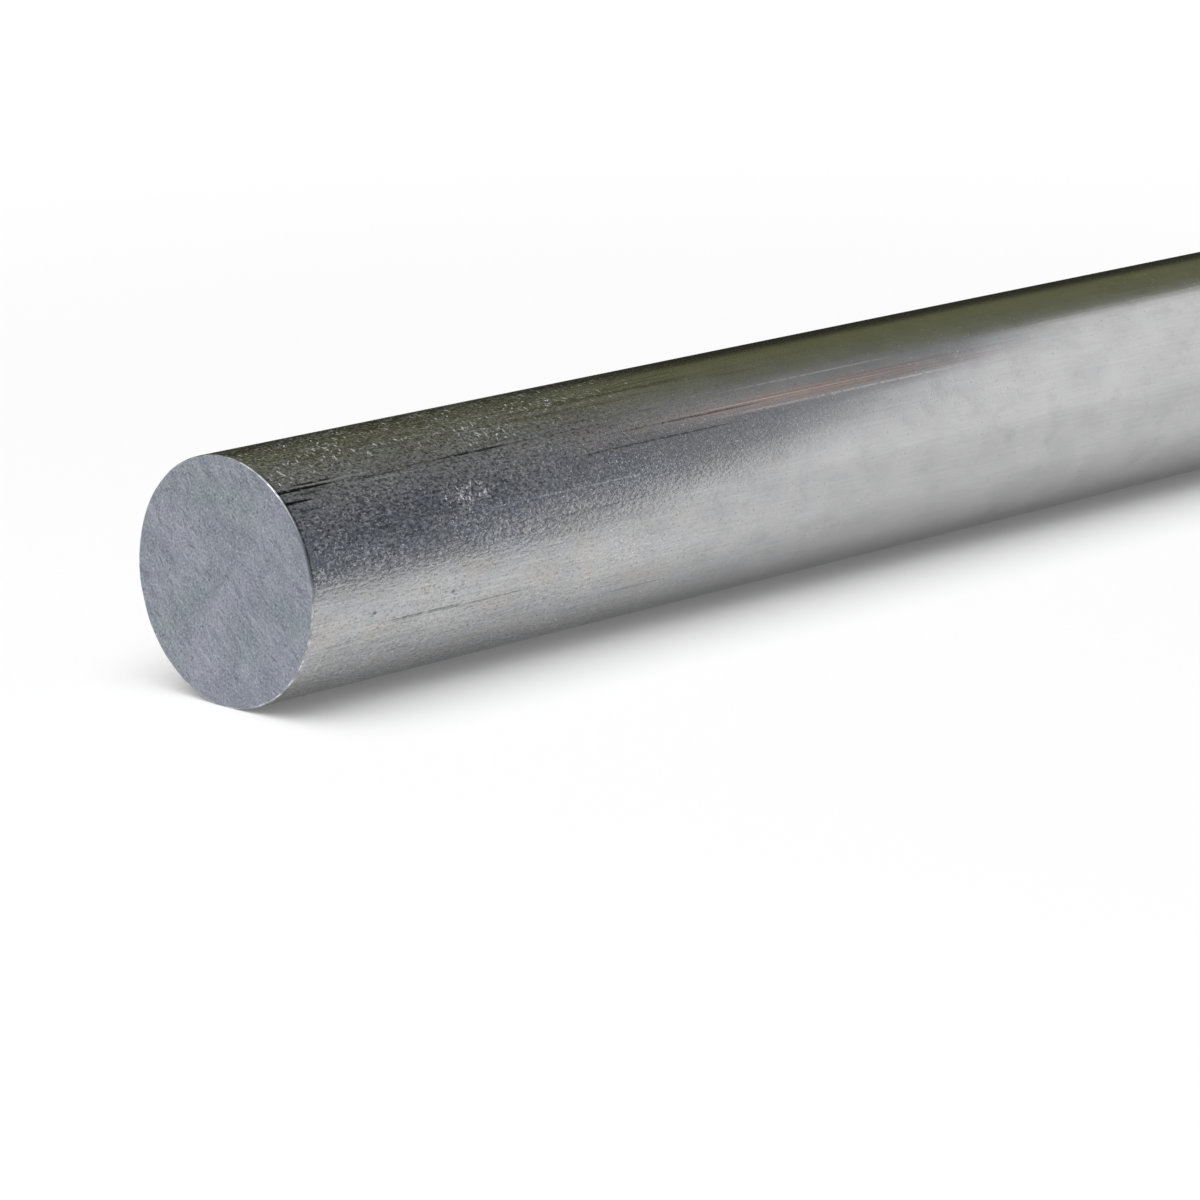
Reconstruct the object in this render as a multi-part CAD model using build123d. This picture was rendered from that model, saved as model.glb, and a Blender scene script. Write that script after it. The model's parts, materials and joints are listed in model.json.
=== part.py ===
from build123d import *
import os

# Round metal bar: one length of solid round stock, drawn to size and sawn square at both ends.
#
# The bar lies along +X with +Z up. The origin is the centre of the near end face, so the far
# end face is at x = bar_length and the bar rests on a floor at z = -bar_diameter / 2.

# Driving dimensions, in millimetres.
bar_diameter = 25.4  # one inch round
bar_length = 304.8  # cut to one foot
edge_break = 0.25  # leg of the 45 degree chamfer that takes the saw burr off each end


def drawn_stock():
    """The round section, drawn along +X from the plane of the near end face."""
    section = Plane.YZ * Circle(bar_diameter / 2)
    return extrude(section, amount=bar_length)


def round_bar():
    """The finished bar: the stock with the sharp edge broken all round both sawn ends."""
    stock = drawn_stock()
    sawn_edges = stock.edges().filter_by(GeomType.CIRCLE)
    return chamfer(sawn_edges, length=edge_break)


os.makedirs("parts", exist_ok=True)
export_step(round_bar(), "parts/round_bar.step")
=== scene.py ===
# %% [markdown]
# # A round metal bar
#
# The object is one length of drawn round stock, sawn square at both ends. Its shape is plain, so
# its looks come from three finishes and from the small marks in them: the drawn side with fine
# lines along it and scuffs from handling, the duller sawn ends with the arcs of the saw blade,
# and the thin bright edge where the burr was filed off.
#
# The CAD model gives the size and the place. It is loaded first and is never moved. A detailed
# mesh is then built exactly where the plain CAD bar lies, and stands for it.

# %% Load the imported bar
import json
import math

import bpy
import numpy as np
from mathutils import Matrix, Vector


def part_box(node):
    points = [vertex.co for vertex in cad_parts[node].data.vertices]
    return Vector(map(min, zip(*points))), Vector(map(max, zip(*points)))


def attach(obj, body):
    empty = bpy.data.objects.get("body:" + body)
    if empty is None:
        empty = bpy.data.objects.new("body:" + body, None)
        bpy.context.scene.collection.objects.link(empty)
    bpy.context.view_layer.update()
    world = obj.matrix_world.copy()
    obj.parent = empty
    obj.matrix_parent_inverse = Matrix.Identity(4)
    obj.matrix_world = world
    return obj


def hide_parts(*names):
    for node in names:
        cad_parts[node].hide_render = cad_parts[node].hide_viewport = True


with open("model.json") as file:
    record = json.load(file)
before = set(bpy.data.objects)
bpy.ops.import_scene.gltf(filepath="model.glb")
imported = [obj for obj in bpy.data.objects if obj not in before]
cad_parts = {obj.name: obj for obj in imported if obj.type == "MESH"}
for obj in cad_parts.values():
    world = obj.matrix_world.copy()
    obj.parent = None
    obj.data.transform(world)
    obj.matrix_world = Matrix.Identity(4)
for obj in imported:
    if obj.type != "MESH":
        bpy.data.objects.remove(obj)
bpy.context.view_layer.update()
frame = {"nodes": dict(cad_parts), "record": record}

print("CAD nodes:", sorted(frame["nodes"]))

# %% [markdown]
# ## Sizes from the frame
#
# Every size is in metres. The length comes from the CAD node's box. The radius and the length of
# the full round come from the mount that a clamp would grip, because the CAD mesh has flat facets
# and its box is a few hundredths of a millimetre too small. What the ends lose to the filed edge
# is the rest of the length.

# %% Measure the bar
bar_low, bar_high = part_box("round_bar")
bar_length = bar_high.x - bar_low.x
clamp_band = next(m for m in frame["record"]["mounts"] if m["name"] == "bar_surface")
bar_radius = clamp_band["dims"]["r_mm"] / 1000
edge_break = (bar_length - clamp_band["dims"]["length_mm"] / 1000) / 2
floor_height = -bar_radius

print(f"bar {bar_length * 1000:.1f} mm long, {bar_radius * 2000:.1f} mm round")
print(f"filed edge {edge_break * 1000:.2f} mm, floor at z = {floor_height * 1000:.1f} mm")

# %% [markdown]
# ## The camera
#
# The bar runs away from the viewer, who stands at the near end, a little above it, and sees the
# sawn face and the side at almost the same slant. A long lens from half a metre keeps the bar's
# two edges nearly parallel. A camera could be turned by three angles of its own. Here the point
# it looks at, the direction it looks from and the distance are named instead, and its rotation
# follows from the direction, so it keeps facing that point whichever of them is changed.

# %% Place the camera
camera_azimuth = -46.05
camera_elevation = 13.86
camera_distance = 0.5367
camera_lens_mm = 151.8
camera_aim = Vector((4.188 * bar_radius, 0, -0.884 * bar_radius))


def direction(azimuth, elevation):
    """Unit vector from the bar to a viewer. Azimuth 0 is the -Y side, 90 is the +X side."""
    turn = math.radians(azimuth)
    rise = math.radians(elevation)
    level = math.cos(rise)
    return Vector((math.sin(turn) * level, -math.cos(turn) * level, math.sin(rise)))


scene = bpy.context.scene
camera_data = bpy.data.cameras.new("camera")
camera_data.lens = camera_lens_mm
camera_data.clip_start = 0.01
camera_data.clip_end = 50
camera = bpy.data.objects.new("camera", camera_data)
scene.collection.objects.link(camera)
to_camera = direction(camera_azimuth, camera_elevation)
camera.location = camera_aim + to_camera * camera_distance
camera.rotation_euler = (-to_camera).to_track_quat("-Z", "Y").to_euler()
scene.camera = camera
scene.view_settings.view_transform = "Standard"
print("camera at", [round(v, 4) for v in camera.location])

# %% [markdown]
# ## Materials by nodes
#
# Every finish here is a small node tree. It could be put together by hand in the shader editor,
# but a written tree is easy to repeat and to change. Two helpers keep it short: one starts a
# material and hands back its tree, the other adds a node, fills in its settings and links its
# inputs. An input that is given as a socket is linked, and any other value is written into it.

# %% Materials and nodes
def new_material(name):
    """An empty node material and its tree."""
    material = bpy.data.materials.new(name)
    material.use_nodes = True
    material.node_tree.nodes.clear()
    return material, material.node_tree


def add(tree, kind, inputs=None, **settings):
    """Adds a node. Settings are its properties. Inputs maps each socket to a value or a link."""
    node = tree.nodes.new("ShaderNode" + kind)
    for name, value in settings.items():
        setattr(node, name, value)
    for socket, value in (inputs or {}).items():
        if isinstance(value, bpy.types.NodeSocket):
            tree.links.new(value, node.inputs[socket])
        else:
            node.inputs[socket].default_value = value
    return node


print("ready to build materials")

# %% [markdown]
# ## Small operations
#
# A pattern is put together from a few operations: a product, the strongest of several values, a
# smooth step between two limits, a blend of two colours and a stack of such blends. Each is one
# or two nodes, and with a name for each the finishes below read like recipes. The last helper
# picks out the rays that come from the camera or from a shiny surface.

# %% Small operations
def math_node(tree, operation, *values):
    """The result of a Math node."""
    return add(tree, "Math", dict(enumerate(values)), operation=operation).outputs[0]


def times(tree, first, second):
    """The product of two values."""
    return math_node(tree, "MULTIPLY", first, second)


def strongest(tree, values):
    """The largest of several values at each point."""
    best = values[0]
    for value in values[1:]:
        best = math_node(tree, "MAXIMUM", best, value)
    return best


def step(tree, value, low, high, to_low=0.0, to_high=1.0):
    """Smooth step of a value between two limits."""
    node = add(tree, "MapRange", {"Value": value, "From Min": low, "From Max": high})
    node.inputs["To Min"].default_value = to_low
    node.inputs["To Max"].default_value = to_high
    node.interpolation_type = "SMOOTHSTEP"
    return node.outputs[0]


def blend(tree, first, second, factor):
    """A colour that goes from the first to the second as the factor goes from 0 to 1."""
    mix = tree.nodes.new("ShaderNodeMix")
    mix.data_type = "RGBA"
    tree.links.new(factor, mix.inputs["Factor"])
    for socket, value in ((mix.inputs[6], first), (mix.inputs[7], second)):
        if isinstance(value, bpy.types.NodeSocket):
            tree.links.new(value, socket)
        else:
            socket.default_value = (*value, 1)
    return mix.outputs[2]


def layered(tree, tone, layers):
    """A tone with layers laid over it in turn, each a colour and how much there is of it."""
    for colour, amount in layers:
        tone = blend(tree, tone, colour, amount)
    return tone


def seen_by_eye_or_metal(tree):
    """1 for a ray from the camera, or from a mirror or glass surface, and 0 for the rest."""
    path = add(tree, "LightPath")
    kinds = ("Is Camera Ray", "Is Glossy Ray", "Is Transmission Ray")
    return strongest(tree, [path.outputs[kind] for kind in kinds])


print("ready to combine patterns")

# %% [markdown]
# ## Floor and surroundings
#
# The bar lies on a plain pale floor that runs out of sight. More light would make it white, but
# would wash out the bar as well. So the floor is lit like anything else, which keeps the bar's
# shadow, and a little glow is added for the camera and for the metal's reflections alone, with
# more of it farther away. The world behind it is white in the same way, and gives a weaker,
# plain light to everything.

# %% Floor and world
floor_reach = 5.6
plain_light = 0.22
near_floor_glow = 0.12
far_floor_glow = 0.62
glow_starts = 0.1
glow_is_full = 1.2
paper_white = (0.85, 0.85, 0.85, 1)


def flat_card(name, corners, material):
    """One flat card with the corners given in order."""
    mesh = bpy.data.meshes.new(name)
    mesh.from_pydata([tuple(c) for c in corners], [], [tuple(range(len(corners)))])
    mesh.materials.append(material)
    card = bpy.data.objects.new(name, mesh)
    scene.collection.objects.link(card)
    return card


floor_material, tree = new_material("pale_floor")
place = add(tree, "TexCoord").outputs["Object"]
from_bar = add(tree, "VectorMath", {0: place}, operation="LENGTH").outputs["Value"]
glow_here = step(tree, from_bar, glow_starts, glow_is_full, near_floor_glow, far_floor_glow)
paper = add(tree, "BsdfDiffuse", {"Color": paper_white})
glow = add(tree, "Emission", {"Strength": times(tree, seen_by_eye_or_metal(tree), glow_here)})
both = add(tree, "AddShader", {0: paper.outputs[0], 1: glow.outputs[0]})
add(tree, "OutputMaterial", {"Surface": both.outputs[0]})
floor_signs = [(-1, -1), (1, -1), (1, 1), (-1, 1)]
floor_corners = [(x * floor_reach, y * floor_reach, floor_height) for x, y in floor_signs]
flat_card("floor", floor_corners, floor_material)

world = bpy.data.worlds.new("studio")
scene.world = world
world.use_nodes = True
tree = world.node_tree
tree.nodes.clear()
lift = times(tree, seen_by_eye_or_metal(tree), 1 - plain_light)
strength = math_node(tree, "ADD", lift, plain_light)
background = add(tree, "Background", {"Color": (1, 1, 1, 1), "Strength": strength})
add(tree, "OutputWorld", {"Surface": background.outputs[0]})
print("floor and world ready")

# %% [markdown]
# ## The softbox
#
# One large softbox hangs high over the near end, a little to the viewer's side. It lights the
# floor and the sawn face, gives the filed edge its bright line, and keeps the shadow short. A
# small lamp would draw a hard shadow and a glaring line on the side. A square area lamp of this
# size is soft, and it stays out of what the side reflects towards the camera.

# %% Softbox
softbox_from = Vector((-0.42, -0.10, 0.90)).normalized()
softbox_distance = 3.3
softbox_side = 4.2
softbox_power = 148

softbox_data = bpy.data.lights.new("softbox", "AREA")
softbox_data.shape = "SQUARE"
softbox_data.size = softbox_side
softbox_data.energy = softbox_power
softbox = bpy.data.objects.new("softbox", softbox_data)
scene.collection.objects.link(softbox)
softbox.location = softbox_from * softbox_distance
softbox.rotation_euler = (-softbox_from).to_track_quat("-Z", "Y").to_euler()
softbox.visible_camera = False
print("softbox at", [round(v, 2) for v in softbox.location])

# %% [markdown]
# ## What the metal sees
#
# A metal has almost no colour of its own: it shows what stands round it. In an all-white room a
# bar looks white all over, so dim cloth is hung over the set and small cards stand beside it.
# Here a tent of dim cloth covers the upper half of the view, blue-grey on the viewer's side and
# olive behind the bar. A smooth half globe does for a tent, as its folds would only blur. All of
# this is seen by reflections alone, so the camera doesn't see it and it throws no shadow.

# %% Shape of the tent
tent_radius = 5.5


def seen_in_metal_only(card):
    """Hides a card from everything but reflections."""
    card.visible_camera = False
    card.visible_diffuse = False
    card.visible_transmission = False
    card.visible_volume_scatter = False
    card.visible_shadow = False


def tent_mesh(radius, rows=16, columns=48):
    """Half a globe standing on the floor."""
    rise = np.linspace(0, np.pi / 2, rows + 1)[:, None]
    turn = np.linspace(0, 2 * np.pi, columns, endpoint=False)[None, :]
    x = radius * np.cos(rise) * np.cos(turn)
    y = radius * np.cos(rise) * np.sin(turn)
    z = radius * np.sin(rise) * np.ones_like(turn)
    number = np.arange((rows + 1) * columns).reshape(rows + 1, columns)
    beside = np.roll(number, -1, axis=1)
    quads = np.stack([number[:-1], beside[:-1], beside[1:], number[1:]], -1).reshape(-1, 4)
    mesh = bpy.data.meshes.new("tent")
    mesh.from_pydata(np.stack([x, y, z], -1).reshape(-1, 3).tolist(), [], quads.tolist())
    return mesh


print(f"tent: {2 * tent_radius:.1f} m across")

# %% [markdown]
# ## Cloth of the tent
#
# The three colours run into each other: one for each side and one overhead. Real cloth would need
# lamps of its own, and they would light the bar too. An emitter shows its colour by itself, and
# as it is left out of the light sampling it adds no noise.

# %% Tent of dim cloth
viewer_side_cloth = (0.150, 0.170, 0.208)
far_side_cloth = (0.175, 0.185, 0.095)
overhead_cloth = (0.335, 0.34, 0.34)

tent_material, tree = new_material("tent_cloth")
part = add(tree, "SeparateXYZ", {0: add(tree, "TexCoord").outputs["Object"]})
behind = step(tree, part.outputs["Y"], -0.2 * tent_radius, 0.2 * tent_radius)
overhead = step(tree, part.outputs["Z"], 0.45 * tent_radius, 0.95 * tent_radius)
sides = blend(tree, viewer_side_cloth, far_side_cloth, behind)
cloth = blend(tree, sides, overhead_cloth, overhead)
even = add(tree, "Emission", {"Color": cloth, "Strength": 1.0})
add(tree, "OutputMaterial", {"Surface": even.outputs[0]})
tent_material.cycles.emission_sampling = "NONE"

tent = bpy.data.objects.new("tent", tent_mesh(tent_radius))
tent.data.materials.append(tent_material)
tent.location.z = floor_height
scene.collection.objects.link(tent)
seen_in_metal_only(tent)
print("tent:", len(tent.data.polygons), "quads")

# %% [markdown]
# ## Cards for the reflections
#
# Each card draws one band on the side of the bar. A tall white board beyond the far end makes the
# far part bright, and its slanting edge is where the bright part starts. A larger grey board
# behind it softens that edge. A brown batten above them gives a narrow warm band, with a paler
# one beside it. A low strip of dark cloth along the near end carries the dark band down to the
# middle of the side, and a low dark batten behind the bar darkens the top edge.
#
# A card could be a painted board with a lamp on it. It only has to show one even colour, so it is
# a flat emitter, which takes no light or shade and is placed by its corners alone.

# %% Card helpers
def card_material(name, colour, strength=1.0):
    """A card that shows one even colour."""
    material, tree = new_material(name)
    even = add(tree, "Emission", {"Color": (*colour, 1), "Strength": strength})
    add(tree, "OutputMaterial", {"Surface": even.outputs[0]})
    material.cycles.emission_sampling = "NONE"
    return material


def card_across(name, x, corners, colour, strength=1.0):
    """A card that stands across the bar's axis beyond its far end, with corners (y, z)."""
    places = [(x, y, z) for y, z in corners]
    seen_in_metal_only(flat_card(name, places, card_material(name, colour, strength)))


def card_along(name, y, corners, colour):
    """A card that stands along the bar, with corners (x, z)."""
    places = [(x, y, z) for x, z in corners]
    seen_in_metal_only(flat_card(name, places, card_material(name, colour)))


print("ready to place cards")

# %% [markdown]
# ## The six cards
#
# The place of a card's edge follows from the band that it draws. A ray goes from the camera to a
# point on the bar, and on from there as from a mirror, and the edge lies where that ray passes.
# So the outlines are lists of corners, in metres, and most of them aren't plain rectangles.

# %% Boards, battens and strip
board_x = 0.35
grey_board_x = 0.36
strip_y = -0.105
dark_batten_y = 0.10

white_corners = [
    (0.02, floor_height),
    (-0.345, floor_height),
    (-0.306, 0.044),
    (-0.282, 0.081),
    (-0.245, 0.129),
    (-0.146, 0.208),
    (-0.107, 0.211),
    (0.02, 0.215),
]
grey_corners = [
    (0.02, floor_height),
    (-0.400, floor_height),
    (-0.350, 0.075),
    (-0.312, 0.140),
    (-0.225, 0.245),
    (-0.120, 0.265),
    (0.02, 0.265),
]
brown_corners = [(-0.056, 0.238), (-0.085, 0.236), (-0.108, 0.290), (-0.050, 0.300)]
pale_corners = [(-0.045, 0.236), (0.045, 0.236), (0.045, 0.300), (-0.045, 0.300)]
strip_corners = [(-0.1, floor_height), (0.15, floor_height), (0.10, 0.012), (-0.1, 0.015)]
dark_corners = [(0, floor_height), (0.6, floor_height), (0.6, 0.062), (0, 0.062)]

card_across("white_board", board_x, white_corners, (1, 1, 1), strength=1.17)
card_across("grey_board", grey_board_x, grey_corners, (0.28, 0.295, 0.325))
card_across("brown_batten", board_x, brown_corners, (0.86, 0.70, 0.62))
card_across("pale_batten", board_x, pale_corners, (0.36, 0.365, 0.38))
card_along("dark_strip", strip_y, strip_corners, (0.11, 0.135, 0.18))
card_along("dark_batten", dark_batten_y, dark_corners, (0.02, 0.02, 0.016))

# %% [markdown]
# ## The sawn face as a mesh
#
# A saw leaves fine ridges over the whole face, so the face needs corners all over it, and not
# only round the rim. A fan of triangles would crowd them in the middle. A square grid pulled
# into a disc spreads them evenly: ring number k of the grid, counted from the middle, becomes a
# circle with 8 k corners. The last ring has four times as many corners as the grid has cells
# across, and the side of the bar takes over the same corners.

# %% Disc grid
face_cells = 144
rim_corners = 4 * face_cells


def disc_grid(cells):
    """Corners of a unit disc, its quads, and the order of the corners round its rim."""
    half = cells // 2
    steps = np.arange(-half, half + 1)
    i, j = np.meshgrid(steps, steps, indexing="ij")
    ring = np.maximum(abs(i), abs(j))
    round_the_ring = np.select(
        [i == ring, j == ring, i == -ring],
        [j % np.maximum(8 * ring, 1), 2 * ring - i, 4 * ring - j],
        default=6 * ring + i,
    )
    turn = 2 * np.pi * round_the_ring / np.maximum(8 * ring, 1)
    corners = (ring / half)[..., None] * np.stack([np.cos(turn), np.sin(turn)], -1)
    number = np.arange(corners[..., 0].size).reshape(ring.shape)
    quads = np.stack([number[:-1, :-1], number[1:, :-1], number[1:, 1:], number[:-1, 1:]], -1)
    on_rim = ring == half
    rim = number[on_rim][np.argsort(round_the_ring[on_rim])]
    return corners.reshape(-1, 2), quads.reshape(-1, 4), rim


disc_corners, disc_quads, disc_rim = disc_grid(face_cells)
print(f"disc: {len(disc_corners)} corners, {len(disc_quads)} quads, {len(disc_rim)} round the rim")

# %% [markdown]
# ## Saw marks
#
# A round saw blade cuts arcs about its own centre. How deep each arc is depends only on the
# distance from that centre, which makes them easy to write down: a wave of that distance, with
# uneven spacing, that swells and fades over the face. The blade's centre stands off the face,
# so the arcs are long and nearly straight. They could be bump in the material, but real ridges
# also catch the light at the rim, and they stay in the mesh when the materials are left behind.

# %% Relief of a sawn face
blade_radius = 0.08
blade_angle = math.radians(135)
blade_y = blade_radius * math.cos(blade_angle)
blade_z = blade_radius * math.sin(blade_angle)
saw_pitch = 0.00082
finer_pitch = 0.43 * saw_pitch
saw_depth = 0.000022


def smooth_noise(rng, size, knots):
    """A smooth random curve or field from -1 to 1, as a function of 1 or 2 places from 0 to 1."""
    values = rng.uniform(-1, 1, size=(knots + 2,) * size)

    def sample(*coordinates):
        cells = [np.clip(c, 0, 1) * knots for c in coordinates]
        low = [np.minimum(c.astype(int), knots) for c in cells]
        part = [c - l for c, l in zip(cells, low)]
        part = [p * p * (3 - 2 * p) for p in part]
        if size == 1:
            return values[low[0]] * (1 - part[0]) + values[low[0] + 1] * part[0]
        (i, j), (u, v) = low, part
        first = values[i, j] * (1 - u) + values[i + 1, j] * u
        second = values[i, j + 1] * (1 - u) + values[i + 1, j + 1] * u
        return first * (1 - v) + second * v

    return sample


def saw_marks(seed):
    """How far the saw cut below the plane of the face, at the corners of the disc."""
    rng = np.random.default_rng(seed)
    y, z = (disc_corners * bar_radius).T
    reach = np.hypot(y - blade_y, z - blade_z)
    across = (reach - blade_radius + bar_radius) / (2 * bar_radius)
    along = (np.arctan2(z - blade_z, y - blade_y) % (2 * np.pi)) * blade_radius
    along = (along - along.min()) / (along.max() - along.min())
    drift = smooth_noise(rng, 1, 9)(across) * 1.5
    wave = np.sin(2 * np.pi * reach / saw_pitch + drift)
    finer = np.sin(2 * np.pi * reach / finer_pitch + 2.5 * drift)
    swell = 0.5 + 0.5 * smooth_noise(rng, 2, 6)(across, along)
    return saw_depth * (1 + swell * (0.7 * wave + 0.3 * finer)) / 2


near_face_cut = saw_marks(seed=3)
far_face_cut = saw_marks(seed=4)
print(f"saw marks: {near_face_cut.max() * 1e6:.0f} micrometres deep on the near face")

# %% [markdown]
# ## Where the rings of the side lie
#
# The side is a stack of rings, all with the same corners as the rim of a face. Even spacing that
# is close enough for the nicks would take several times as many rings. So they lie close together
# at the ends and at the nicks, and far apart where only drawn lines run, because such a line
# hardly changes from one millimetre to the next.

# %% Rings of the side
nick_stations = edge_break + (bar_length - 2 * edge_break) * np.array(
    [0.035, 0.085, 0.14, 0.2, 0.27, 0.35, 0.44, 0.53, 0.62, 0.71, 0.8, 0.9]
)
end_steps = np.array([0, 0.3, 0.8, 1.6, 2.8, 4.4, 6.4, 9.0]) / 1000
nick_steps = np.array([-0.6, -0.2, 0.2, 0.6]) / 1000
plain_steps = np.linspace(0.015, bar_length - 0.015, 22)
all_places = [
    edge_break + end_steps,
    bar_length - edge_break - end_steps,
    (nick_stations[:, None] + nick_steps).ravel(),
    plain_steps,
]
ring_places = np.unique(np.concatenate(all_places).round(6))
column_turn = 2 * np.pi * np.arange(rim_corners) / rim_corners
column_width = bar_radius * column_turn[1]
print(f"{len(ring_places)} rings of {rim_corners} corners, {column_width * 1000:.3f} mm apart")

# %% [markdown]
# ## Scratches
#
# Deeper scratches run along the side. Some start at the near rim, where the bar was pushed over
# something hard. They are listed once, by angle, start, end and depth, because two steps use the
# list: the mesh cuts the grooves, and the material darkens them to near black. An angle is
# counted from the top of the bar towards the viewer's side. Each scratch is a slim lens, deepest
# in the middle. One that starts at the rim is half a lens, so its start is written as far before
# the face as its end is behind it.

# %% List of scratches
darkest_scratch_depth = 0.000026
scratches = [
    # angle in degrees, start, end and depth in metres
    (37.5, -0.0100, 0.0100, 0.000034),
    (35.2, 0.0018, 0.0092, 0.000022),
    (38.6, 0.0080, 0.0200, 0.000014),
    (40.2, 0.0006, 0.0060, 0.000016),
    (43.8, -0.0050, 0.0050, 0.000030),
    (48.7, 0.0008, 0.0052, 0.000013),
    (37.2, 0.0200, 0.0330, 0.000022),
    (37.1, 0.0060, 0.0540, 0.000009),
    (43.7, 0.0440, 0.0720, 0.000015),
    (51.3, 0.0360, 0.0670, 0.000014),
    (53.2, 0.0120, 0.0270, 0.000010),
    (16.0, 0.0130, 0.0240, 0.000009),
    (14.8, 0.0260, 0.0400, 0.000008),
    (76.6, 0.0240, 0.0520, 0.000008),
    (107.0, 0.0090, 0.0220, 0.000013),
    (107.8, 0.0080, 0.0360, 0.000008),
    (125.0, 0.0105, 0.0160, 0.000010),
    (122.3, 0.0410, 0.0530, 0.000009),
]


def scratch_width(deep):
    """Half the width of a scratch of that depth."""
    return 0.00008 + 4.5 * deep


print(len(scratches), "scratches")

# %% [markdown]
# ## Relief of the side
#
# Drawing pulls the bar through a die, and every flaw in the die draws a line along the whole
# bar. Such a line comes and goes slowly, so the relief is a table with a few rows along the bar
# and one column for each corner round it, blended from row to row. Scratches and a number of
# small nicks are added to it. All of this is cut inward from the true radius, so that the bar
# never grows.

# %% Die lines, grooves and nicks
die_line_depth = 0.000009
nick_length = 0.00018
nick_widths = (0.00012, 0.0003)
nick_depths_mm = (0.008, 0.02)
nick_offsets_mm = [-0.2, 0.2]  # the two inner rings of a station
angle_to_viewer = (np.degrees(column_turn) - 90 + 180) % 360 - 180


def die_lines(places, seed, rows=9):
    """Depth of fine lines along the whole bar."""
    table = np.random.default_rng(seed).normal(size=(rows, rim_corners))
    table = (np.roll(table, 1, axis=1) + 2 * table + np.roll(table, -1, axis=1)) / 4
    position = places / bar_length * (rows - 1)
    low = np.minimum(position.astype(int), rows - 2)
    part = (position - low)[:, None]
    lines = table[low] * (1 - part) + table[low + 1] * part
    return die_line_depth * (lines - lines.min()) / (lines.max() - lines.min())


def groove(angle, width):
    """How much each column lies in a groove at that angle, from 0 to 1 at the nearest column."""
    away = (angle_to_viewer - angle + 180) % 360 - 180
    away -= away[abs(away).argmin()]
    return np.exp(-0.5 * (np.radians(away) * bar_radius / width) ** 2)


def scratch_grooves(places):
    """Depth of the listed scratches for every ring and column."""
    depth = np.zeros((len(places), rim_corners))
    for angle, start, end, deep in scratches:
        along = (2 * places - start - end) / (end - start)
        lens = np.sqrt(np.clip(1 - along**2, 0, 1))[:, None]
        depth = np.maximum(depth, deep * lens * groove(angle, scratch_width(deep) / 2))
    return depth


def nicks(places, seed, per_station=7):
    """Depth of small dents, several at each nick station."""
    rng = np.random.default_rng(seed)
    depth = np.zeros((len(places), rim_corners))
    for station in np.repeat(nick_stations, per_station):
        angle = rng.uniform(-180, 180)
        centre = station + rng.choice(nick_offsets_mm) / 1000
        along = np.exp(-0.5 * ((places - centre) / nick_length) ** 2)[:, None]
        around = groove(angle, rng.uniform(*nick_widths))
        depth = np.maximum(depth, rng.uniform(*nick_depths_mm) / 1000 * along * around)
    return depth


side_cut = die_lines(ring_places, seed=5) + scratch_grooves(ring_places)
side_cut += nicks(ring_places, seed=6)
print(f"side relief: up to {side_cut.max() * 1e6:.0f} micrometres deep")

# %% [markdown]
# ## The filed edge and the ends
#
# The burr of the saw is filed off, which leaves a narrow rounding round each face. A Bevel
# modifier would make it the same width all round. A file never takes the same off everywhere, so
# the edge is made of two rings with a width that wanders. The far end is made as the near one and
# then mirrored into place.

# %% Edges and ends
edge_turns = np.radians([30, 60])
mean_edge = 0.46  # this and the next as shares of the edge break
edge_wander = 0.26
edge_waves = 40
columns_to_close = 30


def ring_points(x, radius):
    """One ring of corners, with a place along the bar and a radius for each column."""
    x = np.broadcast_to(x, rim_corners)
    return np.stack([x, radius * np.cos(column_turn), radius * np.sin(column_turn)], -1)


def edge_width(seed):
    """How much the file took off at each column."""
    wander = smooth_noise(np.random.default_rng(seed), 1, edge_waves)
    there = wander(np.arange(rim_corners) / rim_corners)
    blend_round = np.clip(np.arange(rim_corners) / columns_to_close, 0, 1)
    return edge_break * (mean_edge + edge_wander * there * blend_round)


def end_points(cut, width):
    """Corners of a sawn face and rings of its filed edge, as if for the near end."""
    turn = np.arctan2(disc_corners[:, 1], disc_corners[:, 0]) % (2 * np.pi)
    column = turn / (2 * np.pi) * rim_corners
    closed_width = np.append(width, width[0])
    rim_radius = bar_radius - np.interp(column, np.arange(rim_corners + 1), closed_width)
    y, z = (disc_corners * rim_radius[:, None]).T
    rings = []
    for t in edge_turns:
        radius = bar_radius - width * (1 - math.sin(t))
        rings.append(ring_points(width * (1 - math.cos(t)), radius))
    return np.stack([cut, y, z], -1), rings


def at_far_end(points):
    """The same corners at the far end."""
    return points * (-1, 1, 1) + (bar_length, 0, 0)


print(f"rounding of the filed edge: {mean_edge * edge_break * 1000:.2f} mm on average")

# %% [markdown]
# ## One closed mesh
#
# The near face, the filed edge, the side, the far edge and the far face are joined ring by ring
# into one closed skin, as the bar is one solid piece. A stock cylinder with a displacement would
# need far more corners for the same marks. Each quad also gets the number of its finish here.

# %% Build the bar
side_finish, sawn_end_finish, edge_finish = range(3)


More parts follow.
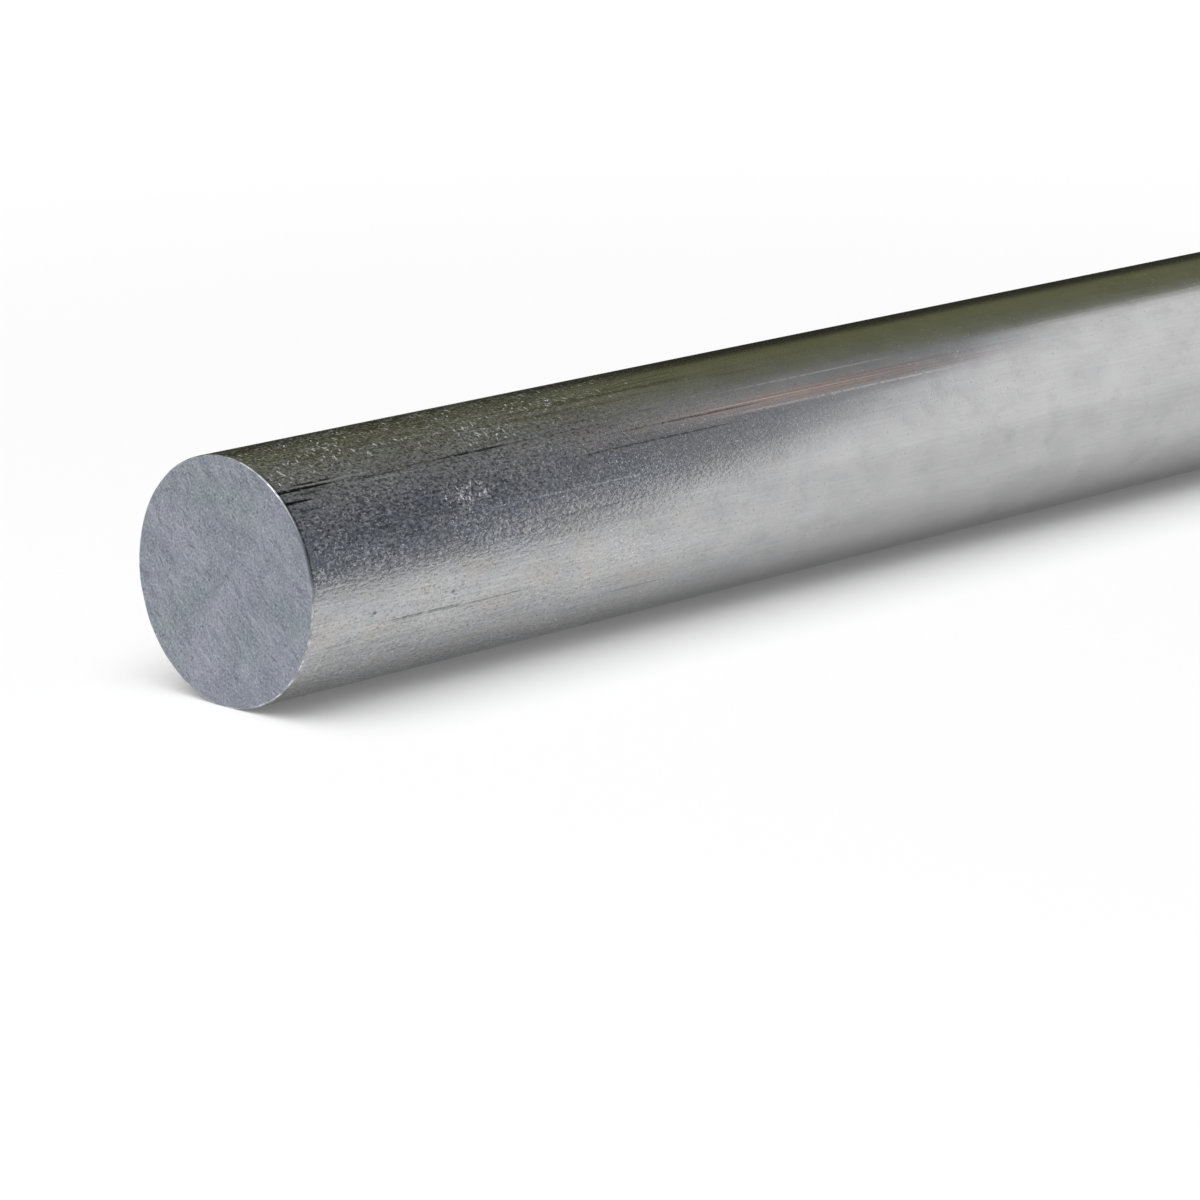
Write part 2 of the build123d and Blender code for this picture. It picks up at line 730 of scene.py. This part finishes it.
def build_bar():
    """Corners of the whole bar, and its quads with the finish of each."""
    near_face, near_edge = end_points(near_face_cut, edge_width(7))
    far_face, far_edge = end_points(far_face_cut, edge_width(8))
    side = [ring_points(x, bar_radius - cut) for x, cut in zip(ring_places, side_cut)]
    rings = near_edge + side + [at_far_end(ring) for ring in far_edge[::-1]]
    points = np.concatenate([near_face, *rings, at_far_end(far_face)])
    first_far = len(points) - len(far_face)
    numbers = [len(near_face) + k * rim_corners + np.arange(rim_corners) for k in range(len(rings))]
    numbers = [disc_rim, *numbers, first_far + disc_rim]
    strips = []
    for a, b in zip(numbers[:-1], numbers[1:]):
        strips.append(np.stack([a, np.roll(a, -1), np.roll(b, -1), b], -1))
    edge_strips = len(edge_turns) + 1
    parts = [
        (disc_quads[:, ::-1], sawn_end_finish),
        (np.concatenate(strips[:edge_strips]), edge_finish),
        (np.concatenate(strips[edge_strips:-edge_strips]), side_finish),
        (np.concatenate(strips[-edge_strips:]), edge_finish),
        (disc_quads + first_far, sawn_end_finish),
    ]
    quads = np.concatenate([part for part, _ in parts])
    finishes = np.concatenate([np.full(len(part), finish) for part, finish in parts])
    return points, quads, finishes


bar_points, bar_quads, bar_finishes = build_bar()
bar_mesh = bpy.data.meshes.new("bar_stock")
bar_mesh.from_pydata(bar_points.tolist(), [], bar_quads.tolist())
bar_mesh.polygons.foreach_set("material_index", bar_finishes.astype(np.int32))
bar_mesh.polygons.foreach_set("use_smooth", np.ones(len(bar_quads), bool))
bar_mesh.validate()
bar_stock = bpy.data.objects.new("bar_stock", bar_mesh)
scene.collection.objects.link(bar_stock)
print(f"bar mesh: {len(bar_points)} corners, {2 * len(bar_quads)} triangles")

# %% [markdown]
# ## Textures from formulas
#
# A finish could be painted on a flat sheet that is wrapped round the bar, but that blurs when seen
# from close by. Here it is worked out from the place of a point in the bar, in metres, so a size
# in a texture is a real size. For marks on the side, the side is laid flat first: X stays along
# the bar and Y runs round it, with the seam underneath. The first pattern is noise with a grain
# of a given size.

# %% Places and grain
def texture_place(tree):
    """Object coordinates, in metres."""
    return add(tree, "TexCoord").outputs["Object"]


def scaled_place(tree, place, scale, offset=(0, 0, 0)):
    """A place multiplied by a scale for each axis and moved by an offset."""
    inputs = {0: place, 1: scale, 2: offset}
    return add(tree, "VectorMath", inputs, operation="MULTIPLY_ADD").outputs[0]


def grain(tree, place, size, detail=2.0, roughness=0.5):
    """Noise from 0 to 1 whose grain has that size along X, Y and Z, in metres."""
    scaled = scaled_place(tree, place, tuple(1 / s for s in size))
    settings = {"Vector": scaled, "Scale": 1.0, "Detail": detail, "Roughness": roughness}
    return add(tree, "TexNoise", settings).outputs["Fac"]


def laid_flat(tree, place):
    """The side laid flat: X along the bar and Y round it from the top, in metres."""
    part = add(tree, "SeparateXYZ", {0: place})
    away = times(tree, part.outputs["Y"], -1.0)
    angle = math_node(tree, "ARCTAN2", away, part.outputs["Z"])
    around = times(tree, angle, bar_radius)
    return add(tree, "CombineXYZ", {"X": part.outputs["X"], "Y": around}).outputs[0]


print("ready to make grain")

# %% [markdown]
# ## Small marks
#
# Nobody wants to place thousands of strokes and specks one by one. A Voronoi texture cuts the
# surface into random cells, and a mark is drawn in a share of them. Each cell has its own random
# colour, which says whether it has a mark, how the mark lies and how hard it was pressed. A mark
# that has a place of its own is a single lens.

# %% Strokes, specks and single marks
stroke_end = 0.40  # half the length of a stroke, as a share of its cell
stroke_core = 0.10


def cells_on(tree, flat_place, cell, shift, randomness=1.0):
    """A flat pattern of random cells: the place in cells, and the node that tells them apart."""
    scaled = scaled_place(tree, flat_place, (1 / cell[0], 1 / cell[1], 0), (shift, 2 * shift, 0))
    settings = {"Vector": scaled, "Scale": 1.0, "Randomness": randomness}
    return scaled, add(tree, "TexVoronoi", settings, voronoi_dimensions="2D")


def one_in_a_share(tree, share, random, soft):
    """1 in that share of the cells, where random is a number of each cell, and else 0."""
    luck = math_node(tree, "SUBTRACT", share, random)
    return step(tree, luck, 0.0, soft)


def strokes(tree, flat_place, cell, width, lie, spread, share, shift):
    """Short straight scratches in a share of the cells, some light and some hard, and all
    within a spread of one direction."""
    scaled, cells = cells_on(tree, flat_place, (cell, cell), shift, randomness=0.95)
    centre = cells.outputs["Position"]
    away = add(tree, "VectorMath", {0: scaled, 1: centre}, operation="SUBTRACT").outputs[0]
    random = add(tree, "SeparateColor", {0: cells.outputs["Color"]})
    turn = math_node(tree, "MULTIPLY_ADD", random.outputs["Red"], 2 * spread, -lie - spread)
    settings = {"Vector": away, "Angle": turn}
    turned = add(tree, "VectorRotate", settings, rotation_type="Z_AXIS").outputs[0]
    part = add(tree, "SeparateXYZ", {0: turned})
    along = math_node(tree, "ABSOLUTE", part.outputs["X"])
    in_length = step(tree, along, stroke_end, stroke_core)
    across = math_node(tree, "ABSOLUTE", part.outputs["Y"])
    in_width = step(tree, across, width / cell, 0.25 * width / cell)
    chosen = one_in_a_share(tree, share, random.outputs["Green"], soft=0.4)
    pressure = step(tree, random.outputs["Blue"], 0.0, 0.7, 0.55, 1.0)
    return times(tree, times(tree, in_length, in_width), times(tree, chosen, pressure))


def specks(tree, flat_place, cell, share, shift, size=0.34):
    """Small spots in a share of the cells, as long and wide as their cells are."""
    _, cells = cells_on(tree, flat_place, cell, shift)
    random = add(tree, "SeparateColor", {0: cells.outputs["Color"]})
    chosen = one_in_a_share(tree, share, random.outputs["Red"], soft=0.45)
    return times(tree, step(tree, cells.outputs["Distance"], size, 0.4 * size), chosen)


def mark(tree, flat_place, angle, middle, half_length, half_width, soft=0.6):
    """One lens-shaped mark on the side: 1 inside it, fading to 0 at its border."""
    around = math.radians(angle) * bar_radius
    scale = (1 / half_length, 1 / half_width, 0)
    offset = (-middle / half_length, -around / half_width, 0)
    scaled = scaled_place(tree, flat_place, scale, offset)
    away = add(tree, "VectorMath", {0: scaled}, operation="LENGTH").outputs["Value"]
    return step(tree, away, 1.0, 1.0 - soft)


print("ready to make strokes, specks and marks")

# %% [markdown]
# ## Where the side is worn
#
# The near end has been handled most, and towards the far end the side is cleaner. Some places
# are rubbed hard, a belt along the top is scuffed more than the rest, and in between the wear
# comes in patches. Wear could be one even noise, but then no place would tell where the bar was
# held or dragged. So slow noise, a slope along the bar and a few wide marks are put together.

# %% Worn places
handled_from = 0.012
handled_to = 0.092
rubbed_places = [
    # angle in degrees, middle, half length and half width in metres
    (17, 0.0105, 0.0060, 0.0042),
    (28, 0.0045, 0.0070, 0.0024),
    (27, 0.0290, 0.0110, 0.0024),
    (57, 0.0235, 0.0055, 0.0022),
    (14, 0.0400, 0.0080, 0.0026),
    (95, 0.0160, 0.0050, 0.0028),
    (98, 0.0440, 0.0080, 0.0026),
]
# two scuffed belts, written in the same way
scuffed_top = (12, 0.02, 0.06, 0.0085)
scuffed_far = (64, 0.105, 0.040, 0.0045)

mill_finish, tree = new_material("mill_finish")
place = texture_place(tree)
flat_place = laid_flat(tree, place)
from_end = add(tree, "SeparateXYZ", {0: place}).outputs["X"]
handled = step(tree, from_end, handled_from, handled_to, 1.0, 0.05)
rubbed = strongest(tree, [mark(tree, flat_place, *rub, soft=0.7) for rub in rubbed_places])
worn_patch = grain(tree, place, (0.010, 0.004, 0.004), detail=3)
patchy = times(tree, step(tree, worn_patch, 0.34, 0.62, 0.1, 0.7), handled)
worn_top = mark(tree, flat_place, *scuffed_top, soft=0.8)
worn_far = times(tree, mark(tree, flat_place, *scuffed_far, soft=0.9), 0.5)
worn = strongest(tree, [patchy, rubbed, worn_top, worn_far])
print(len(rubbed_places), "rubbed places,", len(tree.nodes), "nodes so far")

# %% [markdown]
# ## Light marks of wear
#
# Rubbed metal shows short bright strokes, mostly across the bar, and the rest of the worn part is
# covered with fine light flecks. Where there is less wear the marks are fewer rather than
# fainter. Fading them out would look like fog, so the wear of a place sets the share of cells
# that have a mark.

# %% Strokes and light flecks
cross = math.pi / 2
stroke_width = 0.00010
stroke_shares = [times(tree, rubbed, 0.85), times(tree, worn_top, 0.42), times(tree, worn, 0.32)]
stroke_share = strongest(tree, stroke_shares)
speck_share = times(tree, worn, 0.42)
long_strokes = strokes(tree, flat_place, 0.0014, stroke_width, cross, 0.7, stroke_share, 0.93)
short_strokes = strokes(tree, flat_place, 0.0009, stroke_width, cross, 1.1, stroke_share, 0.0)
strokes_there = strongest(tree, [long_strokes, short_strokes])
fleck_grain = grain(tree, place, (0.00028, 0.00018, 0.00018), detail=1)
fleck_level = math_node(tree, "MULTIPLY_ADD", worn, 0.12, fleck_grain)
light_flecks = strongest(
    tree,
    [
        specks(tree, flat_place, (0.00062, 0.00036), speck_share, 0.11),
        specks(tree, flat_place, (0.00120, 0.00044), speck_share, 0.63),
        step(tree, fleck_level, 0.66, 0.84),
    ],
)
light_flecks = times(tree, light_flecks, step(tree, handled, 0.0, 0.6, 0.35, 0.8))
light_marks = strongest(tree, [strokes_there, light_flecks])
print("light marks:", len(tree.nodes), "nodes so far")

# %% [markdown]
# ## Grit, grime and pits
#
# Handling also leaves a fine grit of light and dark points, and on the upper side grime has
# gathered in the low ones. A few pits and dents are deeper. Grit is noise at the scale of the
# metal's own grain, as it has no edges, pits are specks, and the three dents have their places.

# %% Grit, grime and pits
# each mark: angle in degrees, middle, half length and half width in metres
grime_patch = (28, 0.015, 0.048, 0.0125)
dents = [
    (99.8, 0.0192, 0.00030, 0.00026),
    (101.2, 0.0085, 0.00038, 0.00024),
    (121.0, 0.0228, 0.00026, 0.00020),
]

grit = grain(tree, place, (0.00060, 0.00028, 0.00028), detail=2, roughness=0.6)
light_grit = times(tree, step(tree, grit, 0.50, 0.68), handled)
dark_grit = times(tree, step(tree, grit, 0.50, 0.32), handled)
dark_grain = grain(tree, place, (0.00040, 0.00024, 0.00024), detail=1)
grimy = mark(tree, flat_place, *grime_patch, soft=0.5)
dark_level = math_node(tree, "MULTIPLY_ADD", handled, -0.1, dark_grain)
dark_level = math_node(tree, "MULTIPLY_ADD", grimy, -0.06, dark_level)
dark_flecks = step(tree, dark_level, 0.31, 0.20)
pit_share = times(tree, handled, 0.09)
small_pits = specks(tree, flat_place, (0.0030, 0.0016), pit_share, 0.8, size=0.16)
pits = strongest(tree, [small_pits] + [mark(tree, flat_place, *dent) for dent in dents])
print(len(dents), "dents,", len(tree.nodes), "nodes so far")

# %% [markdown]
# ## Lines along the side
#
# The scratches of the list are darkened to near black, and a dark line of painted shade lies
# just behind the near edge. Farther along, a few brown streaks are a painted reflection of a warm
# band, with fresh bright lines beside them. They could be curves laid on the bar, but a mark in
# the material can't stand off the surface. So each is a single lens, a few tenths of a millimetre
# wide and up to some centimetres long, and uneven grain breaks it up.

# %% Dark scratches, painted shade, painted reflection and bright lines
# painted reflection: brown streaks that show a warm band of the surroundings
warm_reflection_traces = [
    # angle in degrees, middle, half length and half width in metres
    (41.6, 0.080, 0.030, 0.00022),
    (43.0, 0.084, 0.034, 0.00018),
    (44.8, 0.086, 0.030, 0.00024),
    (39.6, 0.090, 0.030, 0.00018),
]
bright_lines = [
    # angle in degrees, middle, half length and half width in metres
    (42.3, 0.074, 0.022, 0.00012),
    (47.3, 0.080, 0.026, 0.00018),
    (36.1, 0.008, 0.008, 0.00012),
    (40.6, 0.015, 0.006, 0.00013),
    (33.6, 0.078, 0.018, 0.00014),
    (66.0, 0.036, 0.020, 0.00012),
]
# painted shade: the dark line behind the near edge, written in the same way
rim_shade_line = (50, 0.0002, 0.0004, 0.0120)

broken = grain(tree, place, (0.0010, 0.0005, 0.0005), detail=2)
unbroken = step(tree, broken, 0.36, 0.48, 0.25, 1.0)


def line(lens, strength=1.0, soft=0.6):
    """A broken line along the side."""
    return times(tree, times(tree, mark(tree, flat_place, *lens, soft=soft), unbroken), strength)


# the first line is painted shade behind the near edge, and the rest darken the scratches
dark_scratch_and_rim_shade_lines = [line(rim_shade_line, 0.75)]
for angle, start, end, deep in scratches:
    lens = (angle, (start + end) / 2, (end - start) / 2, scratch_width(deep))
    dark_scratch_and_rim_shade_lines.append(line(lens, min(1.0, deep / darkest_scratch_depth), soft=0.4))
scratch_fill_and_rim_shade = strongest(tree, dark_scratch_and_rim_shade_lines)
# painted reflection of a warm band, as brown streaks
painted_warm_reflection = strongest(tree, [line(lens, soft=0.9) for lens in warm_reflection_traces])
bright = strongest(tree, [line(lens) for lens in bright_lines])
print("lines:", len(dark_scratch_and_rim_shade_lines) + len(warm_reflection_traces) + len(bright_lines))

# %% [markdown]
# ## Tones of the drawn side
#
# Clean metal is a plain grey with slow changes of tone, a little warmer here and a little bluer
# there, and with fine drawn lines that are darker or lighter. Nearer the handled end the lines
# are stronger, the top is dusty in brown streaks, and the cleaner far part has faint stains. One
# even grey would look like plastic, so grains of several sizes and directions are mixed.

# %% Tones of the metal
# angle in degrees, middle, half length and half width in metres
dusty_patch = (8, 0.035, 0.055, 0.0090)

smudge = grain(tree, place, (0.0055, 0.0045, 0.0045), detail=4)
hue_patch = grain(tree, place, (0.005, 0.003, 0.003), detail=2)
drawn_streak = grain(tree, place, (0.014, 0.0007, 0.0007), detail=3)
fine_line = grain(tree, place, (0.007, 0.00020, 0.00020), detail=2)
stain_grain = grain(tree, place, (0.0036, 0.0026, 0.0026), detail=4, roughness=0.6)
far_part = step(tree, handled, 0.9, 0.3)
smudged = step(tree, smudge, 0.3, 0.7)
line_amount = step(tree, handled, 0.1, 1.0, 0.08, 0.3)
bluish = times(tree, step(tree, hue_patch, 0.5, 0.68, 0.0, 0.4), handled)
warmish = times(tree, step(tree, hue_patch, 0.5, 0.32, 0.0, 0.4), handled)
dark_line = times(tree, step(tree, fine_line, 0.48, 0.32), line_amount)
light_line = times(tree, step(tree, fine_line, 0.52, 0.68), line_amount)
dusty_top = times(tree, mark(tree, flat_place, *dusty_patch, soft=0.7), 0.75)
brown_streak = times(tree, step(tree, drawn_streak, 0.52, 0.34), dusty_top)
stained = times(tree, step(tree, stain_grain, 0.50, 0.80, 0.0, 0.4), far_part)
print("tones:", len(tree.nodes), "nodes so far")

# %% [markdown]
# ## Colour of the drawn side
#
# The colour is laid on like coats of paint, from the metal up: first its own tones, then grit,
# grime and flecks, then pits, bright lines and the painted warm reflection, and last the
# near-black scratches with the painted shade behind the near edge. A separate material for each
# mark would need a mesh cut along it. One stack of layers needs no cut, and its order says what
# lies on top of what.

# %% Layers of the side
clean = blend(tree, (0.438, 0.438, 0.443), (0.482, 0.482, 0.485), smudged)
dull = blend(tree, (0.44, 0.44, 0.445), (0.485, 0.485, 0.488), smudged)
tone = blend(tree, clean, dull, handled)
grime = times(tree, dark_grit, step(tree, grimy, 0.0, 1.0, 0.35, 0.8))
fleck_depth = step(tree, grimy, 0.0, 1.0, 0.45, 0.85)
side_layers = [
    ((0.42, 0.455, 0.51), bluish),
    ((0.51, 0.48, 0.44), warmish),
    ((0.27, 0.27, 0.27), dark_line),
    ((0.68, 0.68, 0.68), light_line),
    ((0.18, 0.15, 0.10), brown_streak),
    ((0.31, 0.31, 0.315), stained),
    ((0.70, 0.70, 0.70), times(tree, light_grit, 0.25)),
    ((0.20, 0.20, 0.20), grime),
    ((0.88, 0.88, 0.88), times(tree, light_flecks, 0.8)),
    ((1.0, 1.0, 1.0), times(tree, strokes_there, 0.9)),
    ((0.14, 0.14, 0.14), times(tree, dark_flecks, fleck_depth)),
    ((0.12, 0.12, 0.12), times(tree, pits, 0.7)),
    ((0.75, 0.74, 0.73), times(tree, bright, 0.8)),
    # painted reflection of a warm band
    ((0.43, 0.35, 0.31), painted_warm_reflection),
    # near black in the scratches, and painted shade behind the near edge
    ((0.02, 0.02, 0.018), scratch_fill_and_rim_shade),
]
tone = layered(tree, tone, side_layers)
print(len(side_layers), "layers,", len(tree.nodes), "nodes so far")

# %% [markdown]
# ## Shine of the drawn side
#
# Mill finish is satin. The finest lines and the scuffs are bump, which tilts the surface a
# little. A tilted or rougher spot mirrors some other part of the room, so in a dark reflection
# marks look bright and in a bright one they look dark, as on real metal. In the mesh they would
# need millions of corners, so it has only the lines of the die and the deeper marks.
#
# The metal is rougher across the lines than along them, which is called anisotropy. Its
# direction comes from a Tangent node that runs round the bar's own axis.

# %% Shader of the side
side_bump_depth = 0.00003


def finish_in_metal(material, tone, roughness, height, depth, extra=None):
    """Ends a material as bare metal with a bump of that depth, and gives it to the bar."""
    tree = material.node_tree
    bump = add(tree, "Bump", {"Strength": 1.0, "Distance": depth, "Height": height})
    inputs = {"Base Color": tone, "Metallic": 1.0, "Roughness": roughness}
    inputs |= {"Normal": bump.outputs[0]} | (extra or {})
    metal = add(tree, "BsdfPrincipled", inputs)
    add(tree, "OutputMaterial", {"Surface": metal.outputs[0]})
    bar_mesh.materials.append(material)
    print(f"{material.name}: {len(tree.nodes)} nodes")


die_grain = grain(tree, place, (0.03, 0.00022, 0.00022), detail=3)
grit_height = times(tree, grit, times(tree, handled, 1.3))
height = math_node(tree, "ADD", times(tree, die_grain, 0.13), grit_height)
height = math_node(tree, "SUBTRACT", height, times(tree, light_marks, 0.4))
height = math_node(tree, "SUBTRACT", height, times(tree, pits, 0.8))
satin = step(tree, handled, 0.08, 1.0, 0.20, 0.24)
rough = math_node(tree, "ADD", satin, times(tree, strokes_there, 0.7))
rough = math_node(tree, "ADD", rough, times(tree, light_flecks, 0.3))
rough = math_node(tree, "ADD", rough, times(tree, light_grit, 0.12))
tangent = add(tree, "Tangent", direction_type="RADIAL", axis="X")
along_lines = {"Anisotropic": 0.7, "Tangent": tangent.outputs[0]}
finish_in_metal(mill_finish, tone, rough, height, side_bump_depth, along_lines)

# %% [markdown]
# ## Places on the sawn face
#
# The streaks of a sawn face follow the arcs of the saw. Plain noise would run straight over them,
# so their place is counted along those arcs: how far from the blade's centre, and how far round.
# The strokes across the face lie mostly the same way, so they get their own flat place, with Y
# and Z of the bar.

# %% Places on the sawn face
sawn_finish, tree = new_material("sawn_finish")
place = texture_place(tree)
part = add(tree, "SeparateXYZ", {0: place})
face_place = add(tree, "CombineXYZ", {"X": part.outputs["Y"], "Y": part.outputs["Z"]}).outputs[0]
blade_centre = (blade_y, blade_z, 0)
from_blade = add(tree, "VectorMath", {0: face_place, 1: blade_centre}, operation="SUBTRACT")
from_blade = from_blade.outputs[0]
reach = add(tree, "VectorMath", {0: from_blade}, operation="LENGTH").outputs["Value"]
part = add(tree, "SeparateXYZ", {0: from_blade})
sweep = math_node(tree, "ARCTAN2", part.outputs["Y"], part.outputs["X"])
along_arc = times(tree, sweep, blade_radius)
arc_place = add(tree, "CombineXYZ", {"X": reach, "Y": along_arc}).outputs[0]
print("sawn face:", len(tree.nodes), "nodes so far")

# %% [markdown]
# ## Patterns of the sawn face
#
# Some places of a sawn face are scored, with streaks along the arcs and short light and dark
# strokes. The smoother places between them mostly have small specks. If both kinds were spread
# evenly, the face would look the same all over. So the same strokes and specks as on the side are
# used, in other sizes, and one slow noise decides how much of each kind a place has.

# %% Patterns of the sawn face
torn_grain = grain(tree, place, (0.00026, 0.00026, 0.00026), detail=3, roughness=0.6)
patches = grain(tree, place, (0.0040, 0.0040, 0.0040), detail=5, roughness=0.62)
hue_patch = grain(tree, place, (0.0075, 0.0060, 0.0060), detail=1)
streaks = grain(tree, arc_place, (0.00026, 0.0012, 1.0), detail=2)
wide_streaks = grain(tree, arc_place, (0.0009, 0.0045, 1.0), detail=2)
along_cut = blade_angle - math.pi / 2
scored_grain = grain(tree, place, (0.0032, 0.0032, 0.0032), detail=1)
scored = step(tree, scored_grain, 0.40, 0.58, 0.35, 1.0)
smooth = step(tree, scored_grain, 0.42, 0.60, 1.0, 0.3)
light_share = times(tree, scored, 0.7)
dark_share = times(tree, scored, 0.8)
long_strokes = strokes(tree, face_place, 0.0024, 0.00015, along_cut, 0.4, light_share, 0.2)
short_strokes = strokes(tree, face_place, 0.0013, 0.00011, along_cut, 0.8, light_share, 0.6)
light_strokes = strongest(tree, [long_strokes, short_strokes])
dark_strokes = strokes(tree, face_place, 0.0019, 0.00014, along_cut, 0.6, dark_share, 0.4)
light_specks = specks(tree, face_place, (0.0011, 0.0011), times(tree, smooth, 0.5), 0.9, size=0.15)
dark_specks = specks(tree, face_place, (0.0012, 0.0012), times(tree, smooth, 0.6), 0.3, size=0.16)
mottle = math_node(tree, "ADD", times(tree, torn_grain, 0.7), times(tree, streaks, 0.3))
print("patterns of the sawn face:", len(tree.nodes), "nodes so far")

# %% [markdown]
# ## Finish of the sawn ends
#
# The sawn face is duller than the side and a little bluer, because the torn metal scatters light
# in all directions. The deep saw marks are in the mesh. The material adds faint patches, the
# streaks and strokes, and the torn grain between them, as colour, roughness and a little bump.

# %% Sawn finish
face_bump_depth = 0.00005

patch_amount = step(tree, patches, 0.32, 0.68)
tone = blend(tree, (0.275, 0.295, 0.350), (0.368, 0.391, 0.450), patch_amount)
light_streak = step(tree, wide_streaks, 0.50, 0.75, 0.0, 0.7)
dark_streak = step(tree, wide_streaks, 0.50, 0.25, 0.0, 0.6)
face_layers = [
    ((0.365, 0.355, 0.43), step(tree, hue_patch, 0.5, 0.7, 0.0, 0.5)),
    ((0.30, 0.34, 0.365), step(tree, hue_patch, 0.5, 0.3, 0.0, 0.5)),
    ((0.44, 0.46, 0.515), times(tree, light_streak, scored)),
    ((0.22, 0.24, 0.29), times(tree, dark_streak, scored)),
    ((0.53, 0.56, 0.62), step(tree, mottle, 0.5, 0.68, 0.0, 0.6)),
    ((0.16, 0.175, 0.22), step(tree, mottle, 0.5, 0.34, 0.0, 0.6)),
    ((0.56, 0.585, 0.64), times(tree, light_strokes, 0.45)),
    ((0.15, 0.165, 0.21), times(tree, dark_strokes, 0.5)),
    ((0.62, 0.64, 0.69), times(tree, light_specks, 0.5)),
    ((0.12, 0.13, 0.16), times(tree, dark_specks, 0.6)),
]
tone = layered(tree, tone, face_layers)
height = math_node(tree, "ADD", times(tree, torn_grain, 0.8), times(tree, streaks, 0.4))
height = math_node(tree, "SUBTRACT", height, times(tree, dark_strokes, 0.5))
rough = step(tree, torn_grain, 0.3, 0.7, 0.54, 0.40)
finish_in_metal(sawn_finish, tone, rough, height, face_bump_depth)

# %% [markdown]
# ## Finish of the filed edge
#
# The file leaves fresh, brighter metal in a line about a tenth of a millimetre wide. It catches
# the softbox and draws the outline of the face. An even line would look drawn on, so noise makes
# it come and go and dulls it in places. A stretch between the top and the viewer's side is
# painted shade, darker to tone down the softbox's glint there.

# %% Filed edge
edge_bump_depth = 0.00002
# painted shade: a darker stretch of the filed edge, where the softbox glints
# angle in degrees, middle, half length and half width in metres
glint_shade_stretch = (62, 0.0, 0.002, 0.0062)

filed_edge, tree = new_material("filed_edge")
place = texture_place(tree)
file_marks = grain(tree, place, (0.0004, 0.0004, 0.0004), detail=2)
dull_stretch = step(tree, grain(tree, place, (0.0030, 0.0018, 0.0018), detail=2), 0.54, 0.42)
# painted shade that tones down the softbox's glint between the top and the viewer's side
painted_glint_shade = mark(tree, laid_flat(tree, place), *glint_shade_stretch, soft=0.5)
dull_and_glint_shade = strongest(tree, [times(tree, dull_stretch, 0.7), times(tree, painted_glint_shade, 0.9)])
tone = blend(tree, (0.46, 0.47, 0.49), (0.72, 0.73, 0.75), step(tree, file_marks, 0.35, 0.65))
tone = blend(tree, tone, (0.24, 0.25, 0.28), dull_and_glint_shade)
rough = step(tree, file_marks, 0.3, 0.7, 0.52, 0.38)
finish_in_metal(filed_edge, tone, rough, file_marks, edge_bump_depth)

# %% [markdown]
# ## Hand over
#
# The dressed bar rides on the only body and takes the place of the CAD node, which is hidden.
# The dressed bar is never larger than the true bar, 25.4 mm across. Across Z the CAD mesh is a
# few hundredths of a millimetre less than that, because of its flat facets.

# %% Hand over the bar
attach(bar_stock, "root")
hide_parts("round_bar")
